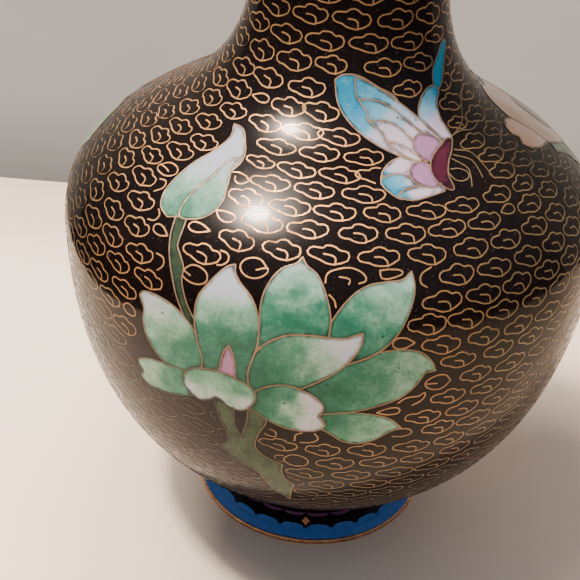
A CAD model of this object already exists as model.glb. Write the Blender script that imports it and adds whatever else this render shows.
"""Looks of the cloisonne vase: polished enamel cells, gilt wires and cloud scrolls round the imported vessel.

Motifs are laid out on the vase's design sheet: degrees round from the front (-Y), positive towards +X,
against millimetres up the wall from the foot joint. The same sheet is used by the vessel's solids.
"""

import logging
import math
import random
from dataclasses import dataclass, field
from enum import Enum

import bpy
import numpy as np
from mathutils import Matrix, Vector, geometry, kdtree


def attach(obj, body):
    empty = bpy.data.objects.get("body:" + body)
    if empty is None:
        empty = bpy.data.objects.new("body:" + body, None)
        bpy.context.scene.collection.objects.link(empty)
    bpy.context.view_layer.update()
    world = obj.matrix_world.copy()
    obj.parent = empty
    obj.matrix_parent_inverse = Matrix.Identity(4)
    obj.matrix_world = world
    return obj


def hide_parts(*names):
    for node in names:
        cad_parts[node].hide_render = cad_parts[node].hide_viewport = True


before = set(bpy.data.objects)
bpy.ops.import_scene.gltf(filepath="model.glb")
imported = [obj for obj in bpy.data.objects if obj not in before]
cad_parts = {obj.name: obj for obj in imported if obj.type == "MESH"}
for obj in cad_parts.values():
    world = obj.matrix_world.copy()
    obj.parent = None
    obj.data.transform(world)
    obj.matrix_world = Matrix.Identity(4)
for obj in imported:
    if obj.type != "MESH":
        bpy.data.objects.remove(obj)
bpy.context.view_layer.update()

MM = 0.001
SMOOTH_ANGLE = math.radians(40)
NO_WIRE_NEAR = 5.0
LOG = logging.getLogger("vase")

Point = tuple[float, float]
Stroke = tuple[Point, ...]
Round = tuple[Stroke, ...]
Colour = tuple[int, int, int]


# ------------------------------------------------------------------ the wall and its design sheet


@dataclass(frozen=True)
class Profile:
    """The outside of the enamelled wall: five knots joined by curves, in millimetres."""

    foot: Point = (25.5, 6.0)
    belly: Point = (63.0, 82.0)
    shoulder: Point = (37.5, 112.0)
    neck: Point = (20.5, 164.0)
    mouth: Point = (31.0, 203.0)
    foot_flare: float = 10.0
    shoulder_slope: float = 63.0
    mouth_flare: float = 46.0
    reaches: tuple[float, ...] = (13.0, 60.0, 12.0, 23.0, 22.0, 21.0, 18.0, 14.0)
    steps: int = 240

    def points(self) -> np.ndarray:
        """Draws the curve.

        Returns:
            Points (radius, height), closely spaced, from the foot joint to the mouth.
        """
        knots = [Vector(knot) for knot in (self.foot, self.belly, self.shoulder, self.neck, self.mouth)]
        leans = (self.foot_flare, 0.0, -self.shoulder_slope, 0.0, self.mouth_flare)
        ways = [Vector((math.sin(math.radians(lean)), math.cos(math.radians(lean)))) for lean in leans]
        found = [knots[0]]
        for index in range(4):
            leave = knots[index] + ways[index] * self.reaches[2 * index]
            arrive = knots[index + 1] - ways[index + 1] * self.reaches[2 * index + 1]
            found += geometry.interpolate_bezier(knots[index], leave, arrive, knots[index + 1], self.steps)[1:]
        return np.array([tuple(point) for point in found])


class Sheet:
    """A turned surface unrolled: degrees round it against millimetres along its section."""

    def __init__(self, section: np.ndarray) -> None:
        """Measures the section.

        Args:
            section: points (radius, height) in millimetres, close together, from its low end up.
        """
        steps = np.diff(section, axis=0)
        lengths = np.hypot(steps[:, 0], steps[:, 1])
        self.length = np.concatenate([[0.0], np.cumsum(lengths)])
        self.section = section
        tangent = np.gradient(section, self.length, axis=0)
        tangent /= np.linalg.norm(tangent, axis=1, keepdims=True)
        self.outward = np.stack([tangent[:, 1], -tangent[:, 0]], axis=1)

    @property
    def end(self) -> float:
        """Millimetres from the low end of the section to the high end."""
        return float(self.length[-1])

    def radius(self, along: np.ndarray) -> np.ndarray:
        """The surface's radius at lengths along the section."""
        return np.interp(along, self.length, self.section[:, 0])

    def cut(self, along: np.ndarray, depth: np.ndarray) -> np.ndarray:
        """Finds points of the section.

        Args:
            along: lengths along the section, in millimetres.
            depth: how deep under the surface each is, in millimetres.

        Returns:
            Points (radius, height).
        """
        place = [np.interp(along, self.length, self.section[:, axis]) for axis in (0, 1)]
        normal = [np.interp(along, self.length, self.outward[:, axis]) for axis in (0, 1)]
        return np.stack([place[axis] - normal[axis] * depth for axis in (0, 1)], axis=-1)

    def space(self, spots: np.ndarray, depth: np.ndarray) -> np.ndarray:
        """Places in space, in metres, of sheet points at depths under the surface.

        Args:
            spots: rows of (degrees, millimetres).
            depth: one depth for each row, or one for all, in millimetres.

        Returns:
            Rows of (x, y, z).
        """
        cut = self.cut(spots[:, 1], np.broadcast_to(depth, len(spots)))
        turn = np.radians(spots[:, 0])
        return np.stack([cut[:, 0] * np.sin(turn), -cut[:, 0] * np.cos(turn), cut[:, 1]], axis=1) * MM

    def flat(self, spots: np.ndarray) -> np.ndarray:
        """Sheet points as (millimetres round, millimetres up), true to scale near their own height."""
        return np.stack([np.radians(spots[:, 0]) * self.radius(spots[:, 1]), spots[:, 1]], axis=1)


WALL = Sheet(Profile().points())


# ------------------------------------------------------------------ outlines


def bezier_run(points: list[Vector], closed: bool, spacing: float) -> list[Vector]:
    """Points of a smooth run through the given ones, without its last.

    Args:
        points: sheet points that the run passes through, in order.
        closed: whether the run ends where it starts and stays smooth there.
        spacing: about how far apart the points are, in millimetres.

    Returns:
        Sheet points from the first given one up to just before the last.
    """
    first = points[-2] if closed else 2 * points[0] - points[1]
    last = points[1] if closed else 2 * points[-1] - points[-2]
    guide = [first, *points, last]
    found = []
    for before, start, end, after in zip(guide, guide[1:], guide[2:], guide[3:]):
        size = WALL.flat(np.array([start, end]))
        gap = float(np.linalg.norm(size[1] - size[0]))
        reach = (end - start).length / 3
        lead = start + smooth_way(before, start, end) * reach
        trail = end - smooth_way(start, end, after) * reach
        count = max(2, math.ceil(gap / spacing) + 1)
        found += geometry.interpolate_bezier(start, lead, trail, end, count)[:-1]
    return found


def smooth_way(before: Vector, point: Vector, after: Vector) -> Vector:
    """The unit direction in which a smooth run passes a point.

    Args:
        before: the point before it.
        point: the point.
        after: the point after it.

    Returns:
        The direction, on the sheet.
    """
    arrive = point - before
    leave = after - point
    return (arrive * leave.length + leave * leave.length).normalized() if leave.length else arrive.normalized()


def outline_of(strokes: Round, spacing: float) -> np.ndarray:
    """The closed outline of a round of strokes, with a corner where each stroke starts.

    Args:
        strokes: runs of sheet points; each one ends at the next one's start.
        spacing: about how far apart the points are, in millimetres.

    Returns:
        Rows of sheet points, without the first repeated at the end.
    """
    found = []
    for index, stroke in enumerate(strokes):
        points = [Vector(point) for point in (*stroke, strokes[(index + 1) % len(strokes)][0])]
        found += bezier_run(points, len(strokes) == 1, spacing)
    return np.array([tuple(point) for point in found])


def contains(outline: np.ndarray, spots: np.ndarray) -> np.ndarray:
    """Finds which spots lie inside a closed outline.

    Args:
        outline: the sheet points of the outline.
        spots: rows of sheet points.

    Returns:
        True or false for each spot.
    """
    low, high = outline.min(axis=0), outline.max(axis=0)
    found = np.zeros(len(spots), bool)
    near = np.flatnonzero(((spots >= low) & (spots <= high)).all(axis=1))
    ends = np.roll(outline, -1, axis=0)
    for start in range(0, len(near), 4096):
        some = near[start:start + 4096]
        x, y = spots[some, 0:1], spots[some, 1:2]
        spans = (outline[:, 1] <= y) != (ends[:, 1] <= y)
        rise = np.where(ends[:, 1] == outline[:, 1], 1.0, ends[:, 1] - outline[:, 1])
        crossing = outline[:, 0] + (y - outline[:, 1]) / rise * (ends[:, 0] - outline[:, 0])
        found[some] = (spans & (x < crossing)).sum(axis=1) % 2 == 1
    return found


def widened(outline: np.ndarray, sheet: Sheet, distance: float) -> np.ndarray:
    """An outline moved outwards on its sheet.

    Args:
        outline: its sheet points.
        sheet: the surface that it is drawn on.
        distance: how far it moves, in millimetres.

    Returns:
        The moved sheet points.
    """
    flat = sheet.flat(outline)
    scale = flat[:, 0:1] / np.where(outline[:, 0:1] == 0, 1, outline[:, 0:1])
    way = np.roll(outline, -1, axis=0) - np.roll(outline, 1, axis=0)
    way[:, 0:1] *= np.abs(scale)
    way /= np.linalg.norm(way, axis=1, keepdims=True) + 1e-12
    ends = np.roll(outline, -1, axis=0)
    area = (outline[:, 0] * ends[:, 1] - ends[:, 0] * outline[:, 1]).sum()
    side = np.stack([way[:, 1], -way[:, 0]], axis=1) * (distance if area > 0 else -distance)
    return outline + np.stack([side[:, 0] / np.abs(scale[:, 0]).clip(0.01), side[:, 1]], axis=1)


def visible_runs(outline: np.ndarray, hidden: np.ndarray) -> list:
    """Splits a closed outline where parts of it are hidden.

    Args:
        outline: its sheet points.
        hidden: whether each is hidden.

    Returns:
        Pairs of a run of at least three sheet points and whether it is closed.
    """
    if not hidden.any():
        return [(outline, True)]
    if hidden.all():
        return []
    start = int(np.flatnonzero(hidden)[0])
    points = np.roll(outline, -start, axis=0)
    shown = ~np.roll(hidden, -start)
    runs, index, count = [], 0, len(points)
    while index < count:
        if not shown[index]:
            index += 1
            continue
        end = index
        while end < count and shown[end]:
            end += 1
        run = np.concatenate([points[index - 1:index], points[index:end], points[end % count:end % count + 1]])
        if len(run) > 3:
            runs.append((run, False))
        index = end
    return runs

def smooth_line(points: tuple, spacing: float) -> np.ndarray:
    """An open smooth run through sheet points, its last one included."""
    line = bezier_run([Vector(point) for point in points], False, spacing)
    return np.array([tuple(point) for point in line] + [points[-1]])

# ------------------------------------------------------------------ mesh helpers


def mesh_object(name: str, places: np.ndarray, faces: list) -> bpy.types.Object:
    """A smooth-shaded object at the origin.

    Args:
        name: what it is called.
        places: its points, in metres.
        faces: its faces, as the numbers of their points.

    Returns:
        The object.
    """
    data = bpy.data.meshes.new(name)
    data.from_pydata(places.tolist(), [], faces)
    piece = bpy.data.objects.new(name, data)
    bpy.context.scene.collection.objects.link(piece)
    only(piece)
    bpy.ops.object.shade_smooth_by_angle(angle=SMOOTH_ANGLE)
    return piece


def only(piece: bpy.types.Object) -> None:
    """Makes one object the whole selection and the active one.

    Args:
        piece: the object.
    """
    bpy.ops.object.select_all(action="DESELECT")
    piece.select_set(True)
    bpy.context.view_layer.objects.active = piece


def face_outwards(piece: bpy.types.Object) -> None:
    """Turns every face of a closed piece outwards.

    Args:
        piece: the object.
    """
    only(piece)
    bpy.ops.object.mode_set(mode="EDIT")
    bpy.ops.mesh.select_all(action="SELECT")
    bpy.ops.mesh.normals_make_consistent(inside=False)
    bpy.ops.object.mode_set(mode="OBJECT")


def mark(piece: bpy.types.Object, name: str, values: object) -> None:
    """Stores a number on each of a piece's points, for its finish to read.

    Args:
        piece: the piece.
        name: what the finish calls the number.
        values: one number for each point, or one for all of them.
    """
    numbers = np.broadcast_to(values, len(piece.data.vertices)).astype(np.float32)
    piece.data.attributes.new(name, "FLOAT", "POINT").data.foreach_set("value", numbers)


def mark_plain(piece: bpy.types.Object, wash: float = 0.5) -> None:
    """Marks a piece of one colour: the same wash all over, and no wire nearby."""
    mark(piece, "wash", wash)
    mark(piece, "rim", NO_WIRE_NEAR)


def turned(name: str, section: np.ndarray, sides: int) -> bpy.types.Object:
    """A closed solid turned about Z from a section of (radius, height) points in millimetres.

    Args:
        name: the piece's name.
        section: a closed ring of points, or an open one whose two ends lie on the axis.
        sides: how many steps the turn takes.

    Returns:
        The piece, its faces outwards.
    """
    bpy.ops.object.select_all(action="DESELECT")
    curve = bpy.data.curves.new(name, "CURVE")
    curve.dimensions = "3D"
    spline = curve.splines.new("POLY")
    spline.points.add(len(section) - 1)
    for point, (radius, height) in zip(spline.points, section):
        point.co = (radius * MM, 0.0, height * MM, 1.0)
    spline.use_cyclic_u = bool(section[0][0] > 0)
    piece = bpy.data.objects.new(name, curve)
    bpy.context.scene.collection.objects.link(piece)
    only(piece)
    bpy.ops.object.convert(target="MESH")
    bpy.ops.object.mode_set(mode="EDIT")
    bpy.ops.mesh.select_all(action="SELECT")
    bpy.ops.mesh.spin(steps=sides, angle=math.tau, center=(0, 0, 0), axis=(0, 0, 1))
    bpy.ops.mesh.select_all(action="SELECT")
    bpy.ops.mesh.remove_doubles(threshold=MM / 1000)
    bpy.ops.mesh.normals_make_consistent(inside=False)
    bpy.ops.object.mode_set(mode="OBJECT")
    bpy.ops.object.shade_smooth_by_angle(angle=SMOOTH_ANGLE)
    return piece


def layer(sheet: Sheet, start: float, end: float, depths: Point, step: float) -> np.ndarray:
    """The closed section of one layer of a wall.

    Args:
        sheet: the wall's surface.
        start: where the layer starts along it, in millimetres.
        end: where it ends.
        depths: its outer and its inner depth under the surface.
        step: about how far apart the section's points are.

    Returns:
        Points (radius, height) round the section.
    """
    along = np.linspace(start, end, max(2, round((end - start) / step) + 1))
    outer = sheet.cut(along, np.full(len(along), depths[0]))
    inner = sheet.cut(along[::-1], np.full(len(along), depths[1]))
    return np.concatenate([outer, inner])


@dataclass(frozen=True)
class WireSection:
    """The cross-section of a wire set in the surface, in millimetres."""

    width: float
    crest: float
    sunk: float
    rounded: bool = True
    shoulder: float = 0.04

    def ring(self) -> np.ndarray:
        """Draws the section: three points, or four with a rounded crest.

        Returns:
            Points (across, depth under the surface).
        """
        half = self.width / 2
        if not self.rounded:
            return np.array([(-half, self.crest), (half, self.crest), (0.0, self.sunk)])
        side = self.crest + self.shoulder
        return np.array([(-half, side), (0.0, self.crest), (half, side), (0.0, self.sunk)])


MOTIF_WIRE = WireSection(0.29, 0.09, 0.5)
CLOUD_WIRE = WireSection(0.31, 0.17, 0.5, rounded=False)
SCALLOP_WIRE = WireSection(0.42, 0.02, 0.4)


def sweep(sheet: Sheet, path: np.ndarray, closed: bool, section: WireSection, first: int) -> tuple:
    """One wire swept along a run of sheet points.

    Args:
        sheet: the surface that the wire is set in.
        path: rows of sheet points.
        closed: whether the wire joins up with its own start.
        section: its cross-section.
        first: the number that its first point gets.

    Returns:
        Its places in space and its faces.
    """
    flat = sheet.flat(path)
    if closed:
        way = np.roll(flat, -1, axis=0) - np.roll(flat, 1, axis=0)
    else:
        way = np.gradient(flat, axis=0)
    way /= np.linalg.norm(way, axis=1, keepdims=True) + 1e-12
    side = np.stack([way[:, 1], -way[:, 0]], axis=1)
    per_degree = np.radians(1) * sheet.radius(path[:, 1])
    ring = section.ring()
    rows = []
    for across, depth in ring:
        moved = path + np.stack([side[:, 0] * across / per_degree, side[:, 1] * across], axis=1)
        rows.append(sheet.space(moved, depth))
    places = np.stack(rows, axis=1).reshape(-1, 3)
    count, around = len(path), len(ring)
    faces = []
    for index in range(count if closed else count - 1):
        here, there = first + index * around, first + (index + 1) % count * around
        for turn in range(around):
            near = (turn + 1) % around
            faces.append((here + turn, there + turn, there + near, here + near))
    if not closed:
        faces.append(tuple(first + turn for turn in range(around)))
        faces.append(tuple(first + (count - 1) * around + turn for turn in reversed(range(around))))
    return places, faces


def wires_object(name: str, sheet: Sheet, paths: list, section: WireSection) -> bpy.types.Object:
    """All the wires of one piece.

    Args:
        name: the piece's name.
        sheet: the surface that they are set in.
        paths: pairs of a run of sheet points and whether it is closed.
        section: their cross-section.

    Returns:
        The piece, its faces outwards.
    """
    places, faces, first = [], [], 0
    for path, closed in paths:
        found, sides = sweep(sheet, path, closed, section, first)
        places.append(found)
        faces += sides
        first += len(found)
    piece = mesh_object(name, np.concatenate(places), faces)
    face_outwards(piece)
    bpy.ops.object.shade_smooth_by_angle(angle=SMOOTH_ANGLE)
    return piece


# ------------------------------------------------------------------ finishes


class Glaze(Enum):
    """The finishes, named as the vase's material slots."""

    COPPER = "copper"
    GILT = "gilt"
    WIRE = "wire"
    BLACK = "black_enamel"
    BLUE = "blue_enamel"
    LINING = "counter_enamel"
    GREEN = "green_enamel"
    PALE_GREEN = "pale_green_enamel"
    WHITE = "white_green_enamel"
    LILAC = "lilac_enamel"
    LEAF = "leaf_enamel"
    MAUVE = "mauve_enamel"
    CYAN = "cyan_enamel"
    WINE = "wine_enamel"
    PEACH = "peach_enamel"


def linear(colour: Colour) -> tuple[float, float, float, float]:
    """A colour given as 0 to 255 screen values, as the shaders take it."""
    found = [value / 255 for value in colour]
    return (*[value / 12.92 if value <= 0.04045 else ((value + 0.055) / 1.055) ** 2.4 for value in found], 1.0)


@dataclass(frozen=True)
class Enamel:
    """A polished enamel: its colours, the frit in them, its open bubbles, its gloss and its stray grains.

    The stops are (position, colour) along the wash, from 0 deep to 1 pale. Mottle says how far the frit
    pushes the colour along them, pits is the share of spots that are open bubbles, and grains says how
    strongly the light grains of the speckle colour show.
    """

    stops: tuple[tuple[float, Colour], ...]
    mottle: float = 0.3
    pits: float = 0.08
    roughness: float = 0.055
    speckle: Colour = (225, 225, 215)
    grains: float = 0.0


@dataclass(frozen=True)
class Metal:
    """A metal, bright where it is rubbed and dull elsewhere.

    Grain says how strongly it is scratched and dented, metallic is less than 1 for a metal dulled all
    over, coat is the gloss over it, and a tarnished one goes olive at the sides and brown low down.
    """

    bright: Colour
    dull: Colour
    roughness: float
    grain: float
    metallic: float = 1.0
    coat: float = 0.0
    tarnish: bool = False


GREENS = Enamel(((0.0, (42, 102, 78)), (0.22, (58, 124, 98)), (0.42, (96, 152, 122)), (0.68, (152, 194, 166)),
                 (0.84, (190, 208, 196)), (1.0, (208, 208, 218))), 1.0)
WING_BLUES = Enamel(((0.0, (10, 104, 144)), (0.3, (36, 146, 182)), (0.6, (132, 190, 212)),
                     (0.85, (214, 196, 210)), (1.0, (224, 204, 216))), 0.55, 0.06)
LOOKS: dict[Glaze, Enamel | Metal] = {
    Glaze.COPPER: Metal((184, 116, 86), (92, 54, 42), 0.4, 0.3),
    Glaze.GILT: Metal((236, 176, 128), (156, 104, 74), 0.24, 0.3),
    Glaze.WIRE: Metal((226, 164, 102), (160, 118, 70), 0.45, 0.2, 0.45, 0.4, True),
    Glaze.BLACK: Enamel(((0.0, (10, 5, 4)), (0.5, (21, 12, 9)), (0.8, (35, 22, 17)), (1.0, (46, 30, 25))),
                        0.8, 0.1, 0.06, (90, 76, 70), 0.35),
    Glaze.BLUE: Enamel(((0.0, (40, 76, 150)), (0.5, (66, 116, 190)), (1.0, (104, 150, 206))), 0.6),
    Glaze.LINING: Enamel(((0.0, (30, 96, 140)), (0.5, (56, 132, 170)), (1.0, (110, 170, 190))), 0.9, 0.2, 0.16),
    Glaze.GREEN: GREENS,
    Glaze.PALE_GREEN: GREENS,
    Glaze.WHITE: GREENS,
    Glaze.CYAN: WING_BLUES,
    Glaze.LILAC: WING_BLUES,
    Glaze.LEAF: Enamel(((0.0, (28, 38, 32)), (0.4, (44, 60, 47)), (0.75, (92, 108, 76)),
                        (1.0, (128, 162, 122))), 0.7, 0.1),
    Glaze.MAUVE: Enamel(((0.0, (108, 62, 102)), (0.4, (172, 124, 158)), (1.0, (206, 154, 190))), 0.5),
    Glaze.WINE: Enamel(((0.0, (50, 16, 28)), (0.5, (86, 34, 50)), (1.0, (124, 56, 70))), 0.6),
    Glaze.PEACH: Enamel(((0.0, (218, 142, 100)), (0.4, (240, 186, 146)), (0.8, (248, 208, 174)),
                         (1.0, (250, 222, 196))), 0.5),
}
MOTIF_METAL = Metal((176, 138, 100), (118, 92, 80), 0.5, 0.2, 0.4, 0.5, True)
SEAM = (24, 22, 20)
PIT = (16, 14, 14)
OLIVE = (110, 94, 58)
DARK_OLIVE = (56, 42, 31)
BROWN = (30, 19, 15)


class Shader:
    """A node tree under construction, for a material or for a shared group."""

    def __init__(self, tree: bpy.types.NodeTree) -> None:
        """Works on one tree."""
        self.tree = tree

    def feed(self, socket: bpy.types.NodeSocket, value: object) -> None:
        """Links an input to another node's output, or sets it to a value.

        Args:
            socket: the input.
            value: the output or the value.
        """
        if isinstance(value, bpy.types.NodeSocket):
            self.tree.links.new(value, socket)
        else:
            socket.default_value = value

    def node(self, kind: str, **values: object) -> bpy.types.Node:
        """Adds a node.

        Args:
            kind: Blender's name for its type.
            values: what its properties and inputs get, by name, or by i and a number for an input.

        Returns:
            The node.
        """
        made = self.tree.nodes.new(kind)
        for name, value in values.items():
            if hasattr(made, name):
                setattr(made, name, value)
                continue
            numbered = name[0] == "i" and name[1:].isdigit()
            self.feed(made.inputs[int(name[1:]) if numbered else name.replace("_", " ")], value)
        return made

    def math(self, operation: str, first: object, second: object = 0.0, clamp: bool = False) -> object:
        """The result of an arithmetic node."""
        return self.node("ShaderNodeMath", operation=operation, use_clamp=clamp, i0=first, i1=second).outputs[0]

    def noise(self, place: object, scale: float, detail: float = 2.0, rough: float = 0.5) -> object:
        """A noise value between 0 and 1, its scale counted per metre."""
        made = self.node("ShaderNodeTexNoise", Vector=place, Scale=scale, Detail=detail, Roughness=rough)
        return made.outputs["Fac"]

    def span(self, value: object, low: float, high: float, to_low: float = 0.0, to_high: float = 1.0) -> object:
        """A value moved from one span to another and held inside it.

        Args:
            value: the value.
            low: where its span starts.
            high: where its span ends.
            to_low: what the start becomes.
            to_high: what the end becomes.

        Returns:
            The moved value.
        """
        made = self.node("ShaderNodeMapRange", Value=value)
        for name, number in zip(("From Min", "From Max", "To Min", "To Max"), (low, high, to_low, to_high)):
            made.inputs[name].default_value = number
        return made.outputs["Result"]

    def ramp(self, value: object, stops: list) -> object:
        """A colour picked along a ramp of (position, colour) stops.

        Args:
            value: the place along the ramp.
            stops: pairs of position and colour.

        Returns:
            The colour.
        """
        made = self.node("ShaderNodeValToRGB", i0=value)
        ends = made.color_ramp.elements
        while len(ends) < len(stops):
            ends.new(0.5)
        for end, (position, colour) in zip(ends, stops):
            end.position = position
            end.color = linear(colour)
        return made.outputs["Color"]

    def mix(self, factor: object, first: object, second: object, blend: str = "MIX") -> object:
        """A mix of two colours.

        Args:
            factor: the share of the second.
            first: the first colour.
            second: the second colour.
            blend: how they are mixed.

        Returns:
            The mixed colour.
        """
        made = self.node("ShaderNodeMix", data_type="RGBA", blend_type=blend)
        for socket, value in ((made.inputs["Factor"], factor), (made.inputs[6], first), (made.inputs[7], second)):
            self.feed(socket, linear(value) if isinstance(value, tuple) and len(value) == 3 else value)
        return made.outputs[2]

    def shared(self, group: bpy.types.NodeTree, **values: object) -> bpy.types.Node:
        """Adds a shared group.

        Args:
            group: the group.
            values: what its inputs get, by name.

        Returns:
            Its node.
        """
        made = self.tree.nodes.new("ShaderNodeGroup")
        made.node_tree = group
        for name, value in values.items():
            self.feed(made.inputs[name], value)
        return made


def new_group(name: str, inputs: dict, outputs: dict) -> tuple[bpy.types.NodeTree, Shader, object, object]:
    """An empty shared group.

    Args:
        name: what it is called.
        inputs: its input sockets, name to kind of value.
        outputs: its output sockets, name to kind of value.

    Returns:
        The group, a builder for it, and its input and output nodes.
    """
    tree = bpy.data.node_groups.new(name, "ShaderNodeTree")
    for way, sockets in (("INPUT", inputs), ("OUTPUT", outputs)):
        for label, kind in sockets.items():
            tree.interface.new_socket(label, in_out=way, socket_type=f"NodeSocket{kind}")
    build = Shader(tree)
    return tree, build, build.node("NodeGroupInput"), build.node("NodeGroupOutput")


@dataclass
class Finishes:
    """Makes each finish once and hands it out."""

    made: dict = field(default_factory=dict)
    groups: dict = field(default_factory=dict)

    def build_groups(self) -> None:
        """Makes the effects that the finishes share."""
        self.groups = {"frit": self.frit_group(), "pits": self.pits_group(), "sway": self.sway_group(),
                       "wear": self.wear_group()}

    def frit_group(self) -> bpy.types.NodeTree:
        """Grains of ground glass that melted without mixing: a push up or down the colour ramp.

        Returns:
            The group.
        """
        tree, build, given, out = new_group("frit mottle", {"Place": "Vector", "Strength": "Float"},
                                            {"Push": "Float"})
        place = given.outputs["Place"]
        soft = build.noise(place, 260, 3.0, 0.62)
        grains = build.noise(place, 1250, 2.0, 0.6)
        both = build.math("ADD", build.math("MULTIPLY", soft, 0.62), build.math("MULTIPLY", grains, 0.38))
        push = build.math("MULTIPLY", build.math("SUBTRACT", both, 0.5), given.outputs["Strength"])
        tree.links.new(push, out.inputs["Push"])
        return tree

    def pits_group(self) -> bpy.types.NodeTree:
        """Burst bubbles left open by the polishing: small dark holes.

        Returns:
            The group.
        """
        tree, build, given, out = new_group("pits", {"Place": "Vector", "Amount": "Float"},
                                            {"Mask": "Float", "Height": "Float"})
        place = given.outputs["Place"]
        cells = build.node("ShaderNodeTexVoronoi", Vector=place, Scale=520.0)
        chance = build.node("ShaderNodeSeparateColor", Color=cells.outputs["Color"]).outputs[0]
        chosen = build.math("LESS_THAN", chance, given.outputs["Amount"])
        size = build.span(build.noise(place, 700), 0.3, 0.7, 0.06, 0.17)
        hole = build.math("LESS_THAN", cells.outputs["Distance"], size)
        mask = build.math("MULTIPLY", chosen, hole)
        tree.links.new(mask, out.inputs["Mask"])
        tree.links.new(build.math("MULTIPLY", mask, -1.0), out.inputs["Height"])
        return tree

    def sway_group(self) -> bpy.types.NodeTree:
        """The slow unevenness of ground and polished glass, as a bump height.

        Returns:
            The group.
        """
        tree, build, given, out = new_group("polish sway", {"Place": "Vector"}, {"Height": "Float"})
        place = given.outputs["Place"]
        slow = build.noise(place, 60, 1.0)
        quick = build.noise(place, 330, 2.0)
        height = build.math("ADD", build.math("MULTIPLY", slow, 0.8), build.math("MULTIPLY", quick, 0.2))
        tree.links.new(height, out.inputs["Height"])
        return tree

    def wear_group(self) -> bpy.types.NodeTree:
        """Where gilding is rubbed or darkened: 0 is bright metal, 1 is dull.

        Returns:
            The group.
        """
        tree, build, given, out = new_group("rubbed gilding", {"Place": "Vector"}, {"Dull": "Float"})
        place = given.outputs["Place"]
        wide = build.span(build.noise(place, 90, 3.0), 0.35, 0.68)
        fine = build.span(build.noise(place, 900, 2.0), 0.3, 0.75)
        tree.links.new(build.math("MULTIPLY", wide, fine), out.inputs["Dull"])
        return tree

    def start(self, name: str) -> tuple[bpy.types.Material, Shader, object, object]:
        """Starts a new material.

        Args:
            name: the finish's name.

        Returns:
            The material, a builder for it, its Principled surface and the object's own coordinates.
        """
        material = bpy.data.materials.new(name)
        material.use_nodes = True
        build = Shader(material.node_tree)
        surface = material.node_tree.nodes["Principled BSDF"]
        place = build.node("ShaderNodeTexCoord").outputs["Object"]
        return material, build, surface, place

    @staticmethod
    def lay(build: Shader, surface: bpy.types.Node, **values: object) -> None:
        """Links or sets a surface's inputs, named with _ for a space."""
        for name, value in values.items():
            build.feed(surface.inputs[name.replace("_", " ")], value)

    def enamel(self, name: str, look: Enamel) -> bpy.types.Material:
        """A polished enamel whose colour runs along its stops with the piece's wash.

        Args:
            name: the finish's name.
            look: its colours and marks.

        Returns:
            The material.
        """
        material, build, surface, place = self.start(name)
        wash = build.node("ShaderNodeAttribute", attribute_name="wash").outputs["Fac"]
        frit = build.shared(self.groups["frit"], Place=place, Strength=look.mottle).outputs["Push"]
        colour = build.ramp(build.math("ADD", wash, frit), look.stops)
        stray = build.span(build.noise(place, 1700, 1.0), 0.66, 0.76, 0.0, look.grains)
        colour = build.mix(stray, colour, look.speckle)
        rim = build.node("ShaderNodeAttribute", attribute_name="rim").outputs["Fac"]
        seam = build.math("MULTIPLY", build.span(rim, 0.25, 0.75, 1.0, 0.0), build.span(
            build.noise(place, 420), 0.42, 0.62, 0.25, 0.85))
        colour = build.mix(seam, colour, SEAM)
        pit = build.shared(self.groups["pits"], Place=place, Amount=look.pits)
        colour = build.mix(build.math("MULTIPLY", pit.outputs["Mask"], 0.75), colour, PIT)
        sway = build.shared(self.groups["sway"], Place=place).outputs["Height"]
        height = build.math("ADD", sway, build.math("MULTIPLY", pit.outputs["Height"], 0.25))
        bump = build.node("ShaderNodeBump", Height=height, Strength=0.16, Distance=0.0002)
        rough = build.span(build.noise(place, 210, 3.0), 0.3, 0.7, look.roughness * 0.75, look.roughness * 1.5)
        rough = build.math("ADD", rough, build.math("MULTIPLY", pit.outputs["Mask"], 0.5))
        self.lay(build, surface, Base_Color=colour, Roughness=rough, Normal=bump.outputs["Normal"], IOR=1.15,
                 Coat_Weight=0.06, Coat_Roughness=0.22, Coat_IOR=2.4)
        return material

    def metal(self, name: str, look: Metal) -> bpy.types.Material:
        """A metal finish.

        Args:
            name: the finish's name.
            look: its colours and wear.

        Returns:
            The material.
        """
        material, build, surface, place = self.start(name)
        worn = build.shared(self.groups["wear"], Place=place).outputs["Dull"]
        darker = tuple(round(value * 0.86) for value in look.bright)
        tint = build.mix(build.span(build.noise(place, 480, 2.0), 0.35, 0.7), look.bright, darker)
        colour = build.mix(worn, tint, look.dull)
        if look.tarnish:
            colour = self.tarnished(build, place, colour)
        rough = build.math("ADD", build.math("MULTIPLY", worn, 0.3), build.span(
            build.noise(place, 700, 2.0), 0.3, 0.7, look.roughness * 0.8, look.roughness * 1.3))
        dents = build.noise(place, 1500, 3.0)
        bump = build.node("ShaderNodeBump", Height=dents, Strength=look.grain, Distance=0.0001)
        self.lay(build, surface, Base_Color=colour, Roughness=rough, Normal=bump.outputs["Normal"],
                 Metallic=look.metallic, Coat_Weight=look.coat, Coat_Roughness=0.06, Coat_IOR=1.3)
        return material

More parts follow.
